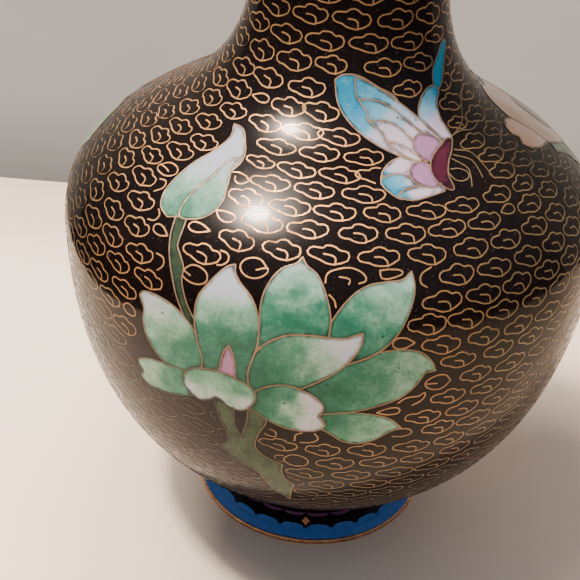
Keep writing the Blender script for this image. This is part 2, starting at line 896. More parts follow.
    def tarnished(self, build: Shader, place: object, colour: object) -> object:
        """A metal's colour gone olive at the sides and high up, and brown low on the left.

        Args:
            build: the material's tree.
            place: the object's own coordinates.
            colour: the colour where there is no tarnish.

        Returns:
            The colour with the tarnish over it.
        """
        parts = build.node("ShaderNodeSeparateXYZ", Vector=place)
        across, height = parts.outputs["X"], parts.outputs["Z"]
        right = build.span(across, 0.002, 0.036, 0.0, 0.85)
        limb = build.span(across, -0.052, -0.038, 0.75, 0.0)
        high = build.math("MAXIMUM", limb, build.span(height, 0.1, 0.14, 0.0, 0.6))
        low = build.span(height, 0.05, 0.09, 0.9, 0.0)
        colour = build.mix(build.math("MAXIMUM", build.math("MAXIMUM", right, high), low), colour, OLIVE)
        colour = build.mix(build.span(height, 0.016, 0.05, 0.9, 0.0), colour, DARK_OLIVE)
        left = build.span(across, -0.016, -0.003, 1.0, 0.0)
        return build.mix(build.math("MULTIPLY", left, build.span(height, 0.068, 0.086, 0.95, 0.0)), colour, BROWN)

    def matt(self, name: str, low: Colour, high: Colour, scale: float, roughness: float,
             glow: float = 0.0, level: bool = False) -> bpy.types.Material:
        """A plain matt finish with a slight unevenness of tone, for the table and the wall behind.

        Args:
            name: the finish's name.
            low: its darker tone.
            high: its lighter tone.
            scale: how many patches of tone lie in a metre.
            roughness: how rough it is.
            glow: how strongly the side nearer the window is brightened.
            level: whether it lies flat, so the window is to its left, or stands.

        Returns:
            The material.
        """
        material, build, surface, place = self.start(name)
        tone = build.span(build.noise(place, scale, 3.0), 0.3, 0.7)
        colour = build.mix(tone, low, high)
        rough = build.span(build.noise(place, scale * 6, 2.0), 0.3, 0.7, roughness - 0.05, roughness + 0.05)
        self.lay(build, surface, Base_Color=colour, Roughness=rough)
        if glow:
            parts = build.node("ShaderNodeSeparateXYZ", Vector=place)
            if level:
                left = build.span(parts.outputs["X"], -0.02, -0.08, 0.0, 1.0)
                share = build.math("MAXIMUM", left, build.span(parts.outputs["Y"], 0.02, 0.09, 0.0, 0.8))
                share = build.math("MULTIPLY", share, build.span(parts.outputs["Y"], 0.165, 0.08, 0.1, 1.0))
            else:
                share = build.span(parts.outputs["Z"], -0.68, -0.5, 0.35, 1.0)
            lit = build.mix(share, (0, 0, 0), colour)
            self.lay(build, surface, Emission_Color=lit, Emission_Strength=glow)
        return material

    def get(self, glaze: Glaze) -> bpy.types.Material:
        """The finish of one slot, made when it is first asked for."""
        return self.once(glaze.value, LOOKS[glaze])

    def motif_wire(self) -> bpy.types.Material:
        """The duller metal of the wires round the motifs' cells."""
        return self.once("dull wire", MOTIF_METAL)

    def once(self, name: str, look: Enamel | Metal) -> bpy.types.Material:
        """A finish by its name, made from its look when it is first asked for.

        Args:
            name: its name.
            look: its look.

        Returns:
            The material.
        """
        if name not in self.made:
            self.made[name] = (self.enamel if isinstance(look, Enamel) else self.metal)(name, look)
        return self.made[name]


def dress(piece: bpy.types.Object, finish: bpy.types.Material, node: str | None) -> bpy.types.Object:
    """Gives a piece its finish and ties it to the vessel.

    Args:
        piece: the finished piece.
        finish: its material.
        node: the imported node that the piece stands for, or None.

    Returns:
        The piece.
    """
    piece.data.materials.clear()
    piece.data.materials.append(finish)
    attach(piece, "root")
    if node:
        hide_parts(node)
    LOG.info("%s: %d faces", piece.name, len(piece.data.polygons))
    return piece


# ------------------------------------------------------------------ motifs on the sheet


@dataclass(frozen=True)
class Cell:
    """One enamelled cell: its node, its finish and its outline as a round of strokes."""

    node: str
    glaze: Glaze
    strokes: Round


# Each motif lists its cells from the one in front to the one furthest back. A stroke runs smoothly
# through its points, and a corner stands where the next one starts.
LOTUS: tuple[Cell, ...] = (
    Cell("lotus_bean_petal", Glaze.PALE_GREEN, (
        ((-17.8, 75.3), (-19.8, 73.9), (-22, 73.2), (-24.2, 74.8), (-25, 77.2), (-24, 80), (-21.3, 81.7),
         (-17.8, 82.3), (-14.3, 81.7), (-11, 79.9), (-10.5, 77.5), (-11.5, 75), (-13.5, 73.5), (-15.8, 73.9)),
    )),
    Cell("lotus_notched_petal", Glaze.WHITE, (
        ((1.2, 75.3), (1.8, 77.8), (0.6, 79.9), (-1.7, 81.5), (-5, 82.5), (-8.2, 81.5), (-11, 79)),
        ((-12, 75), (-10.3, 74), (-7.5, 72.1), (-4, 70.9), (0, 71), (2.2, 72.4), (2.1, 74)),
    )),
    Cell("lotus_pistil", Glaze.MAUVE, (
        ((-15.7, 89.3), (-16.6, 87.6), (-17.2, 84.6), (-17.4, 80)),
        ((-14.2, 80), (-14.4, 84.6), (-14.9, 87.6)),
    )),
    Cell("lotus_tall_petal", Glaze.WHITE, (
        ((-16.8, 105.4), (-18.4, 104.5), (-21, 100.6), (-22.4, 97.5), (-22.6, 93.5), (-21.9, 88.5), (-20.8, 84),
         (-20.6, 80.5)),
        ((-11.8, 80.3), (-12, 84), (-11.2, 87.7), (-10.5, 91), (-10.7, 96), (-12.4, 99.9), (-15.2, 102.4),
         (-16.4, 103.9)),
    )),
    Cell("lotus_curled_petal", Glaze.WHITE, (
        ((-12, 84), (-10.9, 88.8), (-8.4, 92.1), (-5, 94.1), (-0.5, 94.5), (4, 94.3), (5.8, 95)),
        ((7.4, 95.6), (7.2, 93.3), (5.4, 89.4), (2.6, 86.1), (-0.8, 83.3), (-3.5, 81.5)),
        ((-8, 79.5),),
        ((-12, 80),),
    )),
    Cell("lotus_low_petal", Glaze.WHITE, (
        ((-35.1, 73.7), (-36.2, 75.3), (-35.6, 77), (-32.5, 78.6), (-29, 79.2), (-24, 79.2)),
        ((-22, 76),),
        ((-22.5, 73.9), (-26, 72.1), (-30.5, 70.9), (-34.2, 70.6), (-35.9, 71.9)),
    )),
    Cell("lotus_left_petal", Glaze.WHITE, (
        ((-35, 92.9), (-34.2, 94.1), (-31.5, 94.6), (-28, 94.2), (-25, 92.8), (-22.8, 90.6), (-20, 86)),
        ((-20, 80.5), (-24.5, 79.3), (-28.5, 79.2), (-31.2, 81.1), (-33.4, 84.4), (-34, 87.5), (-33.8, 90.4)),
    )),
    Cell("lotus_small_petal", Glaze.GREEN, (
        ((16.7, 72), (14.3, 70.9), (12, 69), (9.3, 67.9), (6, 68.5), (3.3, 70.8), (0.5, 72.8)),
        ((-1.5, 75.6), (3, 76.3), (6.5, 76.8), (10.5, 76.3), (14, 74.9)),
    )),
    Cell("lotus_top_petal", Glaze.GREEN, (
        ((-4.5, 109.1), (-5.4, 107.8), (-8, 106.4), (-9.9, 103.4), (-10.7, 99.5), (-10.4, 95), (-9.8, 90)),
        ((1.2, 92), (1.7, 97.5), (0.7, 102), (-1.3, 106), (-3.6, 107.7)),
    )),
    Cell("lotus_upper_right_petal", Glaze.GREEN, (
        ((16.3, 107.1), (14.4, 105.6), (11, 105.2), (7.6, 104.4), (4.4, 101.8), (1.6, 97), (0.5, 92)),
        ((5, 88.7), (9.8, 91.2), (13.2, 94.9), (15.6, 100), (16.6, 104)),
    )),
    Cell("lotus_right_petal", Glaze.GREEN, (
        ((21.2, 86.3), (20.2, 88.6), (18, 91), (14.5, 92), (10.5, 91.6), (5, 90.5)),
        ((-5, 84),),
        ((-3, 77), (3, 76.1), (7, 77), (11.5, 78.5), (15.5, 80.5), (18, 83.5)),
        ((19.2, 86.1),),
    )),
    Cell("lotus_stem", Glaze.LEAF, (
        ((-18.7, 75), (-17.7, 70), (-16.4, 66), (-16.3, 62.8)),
        ((-18.2, 60.8), (-15.3, 57.2), (-11.2, 54.9), (-9.1, 51), (-7.4, 46.6)),
        ((-3.7, 41.8), (-3.3, 47.5)),
        ((-2.7, 50.8), (-4.7, 53.3), (-5.4, 56.2)),
        ((-5.2, 58.8), (-8.5, 60.7), (-10.6, 63.4), (-10, 67.5), (-8.5, 73)),
        ((-11.8, 75), (-12.3, 70)),
        ((-13.4, 65.6), (-14.6, 69), (-15.3, 75)),
    )),
    Cell("lotus_fork_ground", Glaze.BLACK, (
        ((-16.4, 70), (-13.4, 62.5), (-11, 70)),
        ((-11, 76),),
        ((-16.4, 76),),
    )),
    Cell("bud_right_sepal", Glaze.PALE_GREEN, (
        ((-26.6, 127), (-27.4, 124.6), (-25.9, 120.4), (-24.9, 116.4), (-26.1, 113.3), (-28.8, 111.4),
         (-32.6, 111)),
        ((-33.3, 115), (-32.2, 118.6), (-31, 121.2), (-30.3, 124.6), (-28.7, 126.5)),
    )),
    Cell("bud_left_sepal", Glaze.WHITE, (
        ((-37.5, 134), (-33.5, 133.8), (-30.3, 132), (-26.2, 127)),
        ((-28, 122), (-31.5, 111.6)),
        ((-35, 109.7), (-38.2, 111.2), (-39.9, 114.8), (-38.9, 121.8), (-36.1, 126.8), (-35.1, 131)),
    )),
    Cell("bud_stem", Glaze.LEAF, (
        ((-33.6, 112), (-31.8, 106), (-28.2, 99), (-25.2, 93.5), (-21.5, 89)),
        ((-21.5, 91.5), (-24, 94.8), (-26.3, 99.5), (-26.7, 102)),
        ((-29.6, 105.4), (-31.1, 112)),
    )),
)

BUTTERFLY: tuple[Cell, ...] = (
    Cell("butterfly_body", Glaze.WINE, (
        ((41.7, 134.1), (36, 133), (30.6, 130.6), (28.2, 127.8), (28.4, 125.2), (30.4, 122.9), (32.2, 122.7),
         (32.8, 126), (35.4, 129), (39.6, 131.8)),
    )),
    Cell("butterfly_upper_disc", Glaze.MAUVE, (
        ((25.6, 133.2), (27.2, 135.4), (31, 136.4), (36.6, 133.8)),
        ((32, 130), (27.6, 130.2)),
    )),
    Cell("butterfly_lower_disc", Glaze.MAUVE, (
        ((27.8, 129.9), (23.6, 129.7), (21.3, 127), (23.8, 124.3), (29, 124.2)),
        ((30, 127),),
    )),
    Cell("fore_wing_low_cell", Glaze.CYAN, (
        ((17.5, 135), (20.7, 134.7), (23.5, 133.5), (26.8, 130.7)),
        ((26.2, 130), (21.5, 131.8)),
    )),
    Cell("fore_wing_lower_cell", Glaze.LILAC, (
        ((11.3, 140), (15.9, 139.9), (19.9, 139.3), (23.5, 137.9), (27, 134)),
        ((28, 130.6),),
        ((20, 133), (17.3, 134.9)),
        ((16.7, 136.6), (14.4, 138.2)),
    )),
    Cell("fore_wing_upper_cell", Glaze.LILAC, (
        ((7.8, 144.2), (14.3, 144.1), (19.1, 143.2), (24.5, 141), (31.5, 135)),
        ((27, 133), (19, 136.5), (11.3, 140)),
        ((11.5, 141.6), (9.5, 142.7)),
    )),
    Cell("fore_wing_top_cell", Glaze.LILAC, (
        ((5.7, 148.6), (11.9, 147.7), (21.1, 145), (29, 141.7), (34.6, 137.9), (37.2, 133.8)),
        ((31, 134.5), (20, 141), (7.5, 144.2)),
    )),
    Cell("fore_wing_band", Glaze.CYAN, (
        ((-3.2, 147.7), (-0.4, 148.8), (7.5, 148.8), (16.7, 146.6), (25, 143.6)),
        ((30, 133),),
        ((26.2, 130), (20.9, 131.6), (12.3, 135.2), (4.7, 139.1), (-0.8, 143.2)),
    )),
    Cell("hind_wing_upper_cell", Glaze.CYAN, (
        ((13, 126.7), (15.9, 127.5), (18.8, 127.5), (23, 126.6)),
        ((26, 131),),
        ((20.9, 131.8), (16.7, 130.6), (13.7, 128.4)),
    )),
    Cell("hind_wing_lower_cell", Glaze.CYAN, (
        ((16, 122.3), (18.3, 123.8), (21, 124.3), (29.5, 124.4)),
        ((29.4, 122.6), (24.6, 121.9), (19.9, 121.4)),
    )),
    Cell("hind_wing_middle_cell", Glaze.LILAC, (
        ((13, 127.2), (12.8, 125.4), (14.5, 123.4), (17.5, 121.8)),
        ((29, 124), (24, 129)),
    )),
    Cell("butterfly_far_wing", Glaze.LILAC, (
        ((37.2, 133.6), (34.6, 136.8), (32.6, 139.8), (34.6, 142.6), (39.4, 144.9), (45.7, 145.6)),
        ((47.7, 144.1), (43.9, 141.9), (42.4, 138.9), (42.9, 135.6), (41.2, 133)),
    )),
    Cell("butterfly_tail", Glaze.CYAN, (
        ((45.2, 145.2), (47.4, 148.3), (52.3, 150.7), (63.6, 153.3)),
        ((58, 149.2), (52.3, 146), (47, 144.4)),
    )),
)

PEONY: tuple[Cell, ...] = (
    Cell("peony_heart", Glaze.WINE, (
        ((109, 116), (112, 120.5), (108, 125), (102, 125.8), (97.5, 122.5), (97.5, 117.5), (102.5, 114)),
    )),
    Cell("peony_left_petal", Glaze.PEACH, (
        ((80.5, 130), (76.8, 130.9), (73.5, 130.7), (71.2, 129.9), (70.0, 127.9)),
        ((71.4, 126.6),),
        ((69.0, 125.0), (71.0, 122.9), (75.7, 121.0)),
        ((82.6, 119.4), (82.8, 122.5), (82.4, 125.7)),
    )),
    Cell("peony_upper_petal", Glaze.PEACH, (
        ((80.5, 130), (81.8, 132.5), (84.4, 136.1), (89, 138), (95, 137)),
        ((100, 135.5),),
        ((105.5, 137.5), (113, 134.5), (113, 128), (106, 121)),
        ((103, 114.5), (98, 112)),
        ((95.6, 111.8), (86.7, 117.0)),
        ((82.6, 119.4), (79, 125)),
    )),
    Cell("peony_right_petal", Glaze.PEACH, (
        ((111, 132), (121, 133.5), (130, 129.5)),
        ((133, 123), (131, 116), (124, 112), (113, 113)),
        ((103, 119),),
    )),
    Cell("peony_lower_petal", Glaze.PEACH, (
        ((126, 114), (128, 107.5), (123.5, 101.5), (115, 100)),
        ((110, 101.8), (103.5, 99.4), (97, 101.5), (93.5, 107), (95, 114)),
        ((103, 119), (115, 118)),
    )),
    Cell("second_bloom_heart", Glaze.PEACH, (
        ((214, 108), (208, 112), (206, 119), (209, 125), (214, 122)),
        ((219.5, 126), (224.5, 120), (222.5, 112)),
    )),
    Cell("second_bloom_left_petal", Glaze.PEACH, (
        ((201, 127), (194.5, 122), (193.5, 114.5), (199, 108), (208, 104.5), (216, 105)),
        ((216, 112), (208, 115), (205.5, 121.5)),
    )),
    Cell("second_bloom_right_petal", Glaze.PEACH, (
        ((229.5, 126.5), (236, 120.5), (235.5, 112), (228.5, 106), (214, 104.5)),
        ((214, 112), (223, 114), (225.5, 120.5)),
    )),
    Cell("peony_stem", Glaze.LEAF, (
        ((112, 107), (113, 92), (119, 80), (131, 68.5)),
        ((150, 58),),
        ((152, 60.5), (135, 70.5)),
        ((128, 76.6), (140, 75.6), (160, 77.5), (182, 83.5)),
        ((198, 89.6), (214, 86.6), (232, 88.4)),
        ((251, 95.4),),
        ((250, 98), (232, 91.4), (216, 89.8)),
        ((204, 92.4), (211, 99)),
        ((217, 107),),
        ((212, 107), (205, 99.6), (194, 91.6), (180, 86.2), (160, 80.6), (140, 78.6)),
        ((125, 81.4), (118.5, 89)),
        ((116.6, 107),),
    )),
    Cell("peony_near_leaf", Glaze.LEAF, (
        ((83.5, 118.4), (90, 117), (97, 112)),
        ((101, 106), (97, 101)),
        ((93, 100.4), (90.5, 106), (87.2, 112.2), (84, 115)),
        ((81.3, 116.8),),
    )),
    Cell("peony_far_leaf", Glaze.LEAF, (
        ((277.4, 106.4), (272, 110.8), (266, 113.6), (257, 111), (246, 95)),
        ((258, 94.6), (268, 98), (274, 102)),
    )),
    Cell("peony_back_leaf", Glaze.LEAF, (
        ((157, 104), (151, 97.6), (152, 88), (162, 78)),
        ((171.5, 88), (169.6, 97.6)),
    )),
)

# Where a cell's colour goes along its ramp: (degrees, millimetres, position from 0 deep to 1 pale).
WASHES: dict[str, tuple[tuple[float, float, float], ...]] = {
    "lotus_left_petal": ((-34, 92, 0.92), (-30, 92.5, 0.9), (-32, 86, 0.6), (-28, 88, 0.5), (-25, 91, 0.66),
                         (-30, 82, 0.34), (-25, 84, 0.2), (-22, 88, 0.24), (-22, 82, 0.12), (-27, 80.5, 0.24)),
    "lotus_tall_petal": ((-17, 104, 1.0), (-20, 100, 0.98), (-15, 100, 0.92), (-21, 95, 0.62), (-16, 95, 0.52),
                         (-12, 96, 0.5), (-21, 90, 0.16), (-16, 91, 0.08), (-12, 91, 0.1), (-19.5, 85, 0.06),
                         (-13, 85, 0.06), (-16, 82, 0.02)),
    "lotus_top_petal": ((-4.6, 108, 0.78), (-7, 104, 0.7), (-1, 104, 0.64), (-5, 101, 0.42), (0, 99, 0.3),
                        (-9, 99, 0.32), (-5, 96, 0.2), (0, 94, 0.12), (-9, 93, 0.14)),
    "lotus_upper_right_petal": ((15.5, 106, 0.72), (10, 104, 0.66), (14, 101, 0.6), (6, 101, 0.44), (10, 98, 0.44),
                                (4, 97, 0.2), (8, 94, 0.18), (12, 94, 0.26), (4, 92, 0.08)),
    "lotus_curled_petal": ((6.5, 95, 0.98), (4, 92, 0.95), (0, 91, 0.74), (2, 88, 0.66), (-4, 91, 0.42),
                           (-2, 86, 0.42), (-8, 90, 0.22), (-7, 85, 0.12), (-10, 82, 0.0), (-4, 82, 0.2)),
    "lotus_right_petal": ((20.5, 87, 0.52), (17, 90, 0.6), (16, 84, 0.5), (11, 90, 0.38), (10, 84, 0.3),
                          (5, 88, 0.15), (4, 82, 0.1), (0, 79, 0.0), (9, 79, 0.3)),
    "lotus_small_petal": ((15, 72, 0.62), (10, 69, 0.6), (9, 74, 0.4), (5, 71, 0.34), (3, 74, 0.12), (-1, 75, 0.0)),
    "lotus_notched_petal": ((1.2, 76, 1.0), (-1, 80, 0.96), (-1, 73, 0.95), (-4, 77, 0.72), (-5, 81, 0.5),
                            (-8, 77, 0.18), (-9, 80, 0.1), (-11, 77, 0.02), (-5, 72, 0.36), (-4.8, 80.2, 0.1)),
    "lotus_bean_petal": ((-18, 81.5, 0.44), (-22, 79, 0.44), (-13, 79, 0.4), (-18, 78, 0.54), (-23, 75, 0.86),
                         (-18, 76, 0.9), (-13, 75, 0.84)),
    "lotus_low_petal": ((-35.5, 73, 0.68), (-33, 76, 0.62), (-33, 72, 0.56), (-29, 75, 0.36), (-25, 77, 0.24),
                        (-25, 73.5, 0.26), (-22, 77, 0.08)),
    "bud_left_sepal": ((-36, 133, 1.0), (-32, 131, 1.0), (-34, 126, 1.0), (-30, 124, 1.0), (-36, 121, 0.86),
                       (-31, 119, 0.82), (-38, 116, 0.62), (-34, 114, 0.5), (-36, 111.5, 0.42)),
    "bud_right_sepal": ((-27.5, 126, 0.95), (-27, 122, 0.84), (-29, 118, 0.68), (-28, 114, 0.52), (-32, 112, 0.42)),
    "fore_wing_lower_cell": ((12, 139.5, 0.6), (17, 138, 0.8), (20, 135.5, 0.95), (26, 132, 1.0)),
    "fore_wing_upper_cell": ((9, 143.5, 0.44), (15, 142, 0.52), (20, 139.5, 0.7), (28, 135, 1.0)),
    "fore_wing_top_cell": ((8, 147, 0.4), (16, 145, 0.48), (26, 141, 0.72), (34, 136, 0.95)),
    "fore_wing_band": ((-2, 147, 0.28), (3, 143, 0.3), (8, 138.6, 0.42), (13, 136, 0.8), (20, 132.6, 0.98)),
    "fore_wing_low_cell": ((19, 134, 0.9), (25, 131, 1.0)),
    "hind_wing_upper_cell": ((13.6, 127.4, 0.4), (17, 129.4, 0.9), (23, 130, 1.0)),
    "hind_wing_middle_cell": ((14, 126, 0.42), (16, 123.4, 0.32), (18, 126, 0.55), (22, 126, 0.9), (26, 126.5, 1.0)),
    "hind_wing_lower_cell": ((17.5, 122.5, 0.45), (21, 122.8, 0.85), (27, 123.5, 1.0)),
    "butterfly_far_wing": ((46, 145, 0.36), (40, 144, 0.48), (36, 141, 0.66), (39, 137, 0.88), (40, 134.5, 0.95)),
    "butterfly_tail": ((60, 152, 0.2), (47, 146, 0.3)),
    "peony_far_leaf": ((276, 108, 1.0), (262, 104, 0.95), (250, 97, 0.6)),
    "peony_near_leaf": ((81, 116, 1.0), (90, 108, 0.9), (97, 103, 0.4)),
    "peony_left_petal": ((72, 129, 0.4), (71, 124, 0.36), (76, 122, 0.5), (80, 120.5, 0.95), (77, 127, 0.72),
                         (81, 124, 0.75)),
    "peony_upper_petal": ((83, 134, 0.6), (86, 130, 0.4), (90, 124, 0.72), (87, 120, 0.6), (94, 134, 0.85),
                          (100, 134, 0.4), (110, 132, 0.3), (98, 128, 0.9), (97, 116, 0.9)),
    "peony_right_petal": ((128, 129, 0.3), (126, 116, 0.4), (114, 122, 0.8)),
    "peony_lower_petal": ((112, 102, 0.3), (123, 106, 0.4), (110, 112, 0.8)),
}


@dataclass
class Motif:
    """A group of enamel cells that lie over one another and the wires that part them."""

    name: str
    cells: tuple[Cell, ...]
    finishes: Finishes
    sheet: Sheet = WALL
    wires_node: str | None = None
    extra: tuple = ()
    step: float = 0.7
    wire_step: float = 0.6
    leg_step: float = 0.5
    top: float = 0.16
    bottom: float = 0.6
    grid_step: Point = (1.0, 0.9)
    grid_gap: float = 0.4
    outlines: list = field(default_factory=list)

    def __post_init__(self) -> None:
        """Draws every outline once."""
        self.outlines = [outline_of(cell.strokes, self.step) for cell in self.cells]

    def scale(self) -> np.ndarray:
        """Measures the sheet where the motif lies.

        Returns:
            Millimetres for one degree round and for one millimetre up, about the motif's middle.
        """
        heights = np.concatenate(self.outlines)[:, 1]
        middle = (heights.min() + heights.max()) / 2
        return np.array([math.radians(1) * float(self.sheet.radius(np.array(middle))), 1.0])

    def divide(self) -> tuple[np.ndarray, list]:
        """Cuts the motif's area into small triangles and gives each to the frontmost cell over it.

        Returns:
            The sheet points and, for each cell, its triangles.
        """
        scale = self.scale()
        points, edges = [], []
        for outline in self.outlines:
            first = len(points)
            points += [Vector(point) for point in outline * scale]
            edges += [(first + index, first + (index + 1) % len(outline)) for index in range(len(outline))]
        all_points = np.concatenate(self.outlines)
        low, high = all_points.min(axis=0), all_points.max(axis=0)
        across, up = self.grid_step[0] / scale[0], self.grid_step[1]
        columns, heights = np.arange(low[0], high[0], across), np.arange(low[1], high[1], up)
        grid = np.array([(x + (row % 2) * across / 2, y) for row, y in enumerate(heights) for x in columns])
        wanted = np.zeros(len(grid), bool)
        for outline in self.outlines:
            wanted |= contains(outline, grid)
        grid = grid[wanted]
        near = kdtree.KDTree(len(points))
        for index, point in enumerate(points):
            near.insert((point.x, point.y, 0), index)
        near.balance()
        for spot in grid * scale:
            if near.find((spot[0], spot[1], 0))[2] > self.grid_gap:
                points.append(Vector(spot))
        found, _, triangles, *_ = geometry.delaunay_2d_cdt(points, edges, [], 0, 1e-5)
        spots = np.array([tuple(point) for point in found]) / scale
        triangles = np.array([tuple(face) for face in triangles])
        middles = spots[triangles].mean(axis=1)
        owner = np.full(len(triangles), -1)
        for index, outline in enumerate(self.outlines):
            free = np.flatnonzero(owner < 0)
            owner[free[contains(outline, middles[free])]] = index
        return spots, [triangles[owner == index] for index in range(len(self.cells))]

    def slab(self, cell: Cell, spots: np.ndarray, triangles: np.ndarray) -> bpy.types.Object:
        """One cell as a closed slab of enamel set in the surface.

        Args:
            cell: which cell.
            spots: the motif's sheet points.
            triangles: the cell's own triangles.

        Returns:
            The cell as an object.
        """
        used, where = np.unique(triangles, return_inverse=True)
        where = where.reshape(-1, 3)
        own = spots[used]
        count = len(own)
        corners = own[where]
        first, second = corners[:, 1] - corners[:, 0], corners[:, 2] - corners[:, 0]
        flipped = first[:, 0] * second[:, 1] < first[:, 1] * second[:, 0]
        where[flipped] = where[flipped][:, ::-1]
        edges = {}
        for a, b, c in where.tolist():
            for edge in ((a, b), (b, c), (c, a)):
                edges[edge] = True
        border = [edge for edge in edges if (edge[1], edge[0]) not in edges]
        faces = where.tolist() + [(a + count, c + count, b + count) for a, b, c in where.tolist()]
        faces += [(a, a + count, b + count, b) for a, b in border]
        places = np.concatenate([self.sheet.space(own, self.top), self.sheet.space(own, self.bottom)])
        piece = mesh_object(cell.node, places, faces)
        self.paint(piece, cell, own, sorted({index for edge in border for index in edge}))
        return piece

    def paint(self, piece: bpy.types.Object, cell: Cell, own: np.ndarray, border: list) -> None:
        """Stores on each point the cell's wash and how far the nearest wire is.

        Args:
            piece: the cell's slab.
            cell: which cell.
            own: its sheet points.
            border: the numbers of the points on its border.
        """
        scale = self.scale()
        flat = own * scale
        edge = flat[border]
        rim = np.array([np.sqrt(((edge - spot) ** 2).sum(axis=1).min()) for spot in flat])
        marks = WASHES.get(cell.node)
        if marks:
            marks = np.array(marks)
            gaps = ((flat[:, None, :] - marks[None, :, :2] * scale) ** 2).sum(axis=2)
            weight = 1 / (gaps + 1.0) ** 2
            wash = (weight * marks[:, 2]).sum(axis=1) / weight.sum(axis=1)
        else:
            wash = np.full(len(own), 0.5)
        for name, values in (("wash", wash), ("rim", rim)):
            mark(piece, name, np.concatenate([values, values]))

    def wire_runs(self) -> list:
        """The runs of every outline that no cell in front of it hides.

        Returns:
            Pairs of a run of sheet points and whether it is closed.
        """
        runs = []
        for index, cell in enumerate(self.cells):
            if cell.node.endswith("ground"):
                continue
            outline = outline_of(cell.strokes, self.wire_step)
            hidden = np.zeros(len(outline), bool)
            for front in self.outlines[:index]:
                hidden |= contains(front, outline)
            runs += visible_runs(outline, hidden)
        return runs

    def build(self) -> None:
        """Makes the cells and the wires."""
        spots, owned = self.divide()
        for cell, triangles in zip(self.cells, owned):
            dress(self.slab(cell, spots, triangles), self.finishes.get(cell.glaze), cell.node)
        extra = [(smooth_line(points, self.leg_step), False) for points in self.extra]
        wires = wires_object(f"{self.name}_wires", self.sheet, self.wire_runs() + extra, MOTIF_WIRE)
        dress(wires, self.finishes.motif_wire(), self.wires_node)


# ------------------------------------------------------------------ cloud scrolls


# One scroll, in millimetres about its middle: out from the join, round the lobes, back and into the hook.
CLOUD: tuple[Point, ...] = (
    (1.3, -1.95), (2.6, -1.45), (3.6, -0.8), (3.95, 0.05), (3.6, 0.85), (2.9, 1.15), (2.2, 1.1), (1.8, 1.25),
    (1.2, 1.75), (0.3, 1.95), (-0.6, 1.75), (-1.2, 1.2), (-1.9, 1.15), (-2.9, 1.1), (-3.6, 0.75), (-3.95, 0.05),
    (-3.6, -0.65), (-2.8, -1.0), (-1.9, -1.15), (-1.1, -1.55), (-0.1, -1.9), (1.3, -1.95), (1.45, -1.2),
    (1.3, -0.6), (0.8, -0.2), (0.0, -0.05), (-0.9, 0.0),
)

# Rows of scrolls laid by hand about the front: height up the wall, then the middles in degrees. The rest
# of each row, round the back, is spaced evenly. A scroll under a motif isn't listed.
ROWS: tuple[tuple[float, tuple[float, ...]], ...] = (
    (52.0, (4.5, 13.2, 22.0)),
    (56.3, (-0.4, 9.0, 18.0, 26.5)),
    (61.0, (5.4, 13.8, 22.2, 30.8)),
    (65.5, (-6.0, 2.4, 11.0, 19.8, 27.8, 36.0)),
    (70.0, (-7.6, 24.5, 32.5, 41.0)),
    (74.4, (-41.0, 20.4, 28.5, 36.7, 45.0)),
    (79.0, (-43.0, 25.0, 33.4, 41.6, 50.0)),
    (83.4, (-47.0, -39.5, 29.6, 38.0, 46.0)),
    (88.0, (-51.5, -44.0, 25.6, 34.0, 42.0, 50.2)),
    (92.2, (-55.3, -47.4, -39.4, 21.6, 29.8, 38.0, 46.0)),
    (96.8, (-58.2, -50.2, -42.0, -33.8, 18.2, 26.0, 34.0, 42.0, 50.1)),
    (101.0, (-54.2, -46.0, -37.4, 21.6, 30.0, 38.3, 46.8, 55.2)),
    (105.4, (-58.6, -49.6, -40.7, -24.4, 25.0, 33.8, 42.8, 51.6, 60.2)),
    (110.0, (-54.0, -44.0, -18.4, -9.0, 0.2, 10.0, 19.8, 30.0, 38.8, 48.2, 57.4)),
    (114.6, (-58.8, -48.6, -14.4, -4.5, 6.0, 16.5, 26.2, 35.6, 51.2, 60.8)),
    (118.9, (-62.5, -52.4, -20.4, -9.6, 0.8, 11.8, 22.2, 32.4, 43.2, 54.2)),
    (123.2, (-57.4, -46.2, -15.8, -4.2, 8.0, 50.8, 62.0)),
    (127.4, (-54.8, -41.8, -22.4, -10.8, 1.4, 11.4, 52.0, 63.5)),
    (131.9, (-62.0, -47.6, -19.2, -5.4, 8.6, 50.0)),
    (136.6, (-56.6, -42.0, -27.2, -12.0, 1.2, 47.2, 62.0)),
    (141.1, (-63.0, -47.0, -20.6, -6.6, 51.8, 67.5)),
    (145.6, (-52.6, -35.0, -15.8, 31.0, 51.0, 69.0)),
    (150.4, (-45.0, -24.4, -3.4, 20.0, 40.2, 60.5)),
    (155.0, (-55.6, -33.4, -10.4, 12.6, 34.6, 56.8)),
    (159.6, (-43.0, -20.0, 3.0, 26.4, 49.6)),
)

# How a scroll beside a motif is fitted in: its size, and how far it is moved round and up.
SQUEEZES: tuple[tuple[float, float, float], ...] = tuple(
    (share, across, up) for share in (1.0, 0.88, 0.76, 0.66)
    for across in (0.0, 0.5, -0.5, 1.1, -1.1) for up in (0.0, 0.35, -0.35))


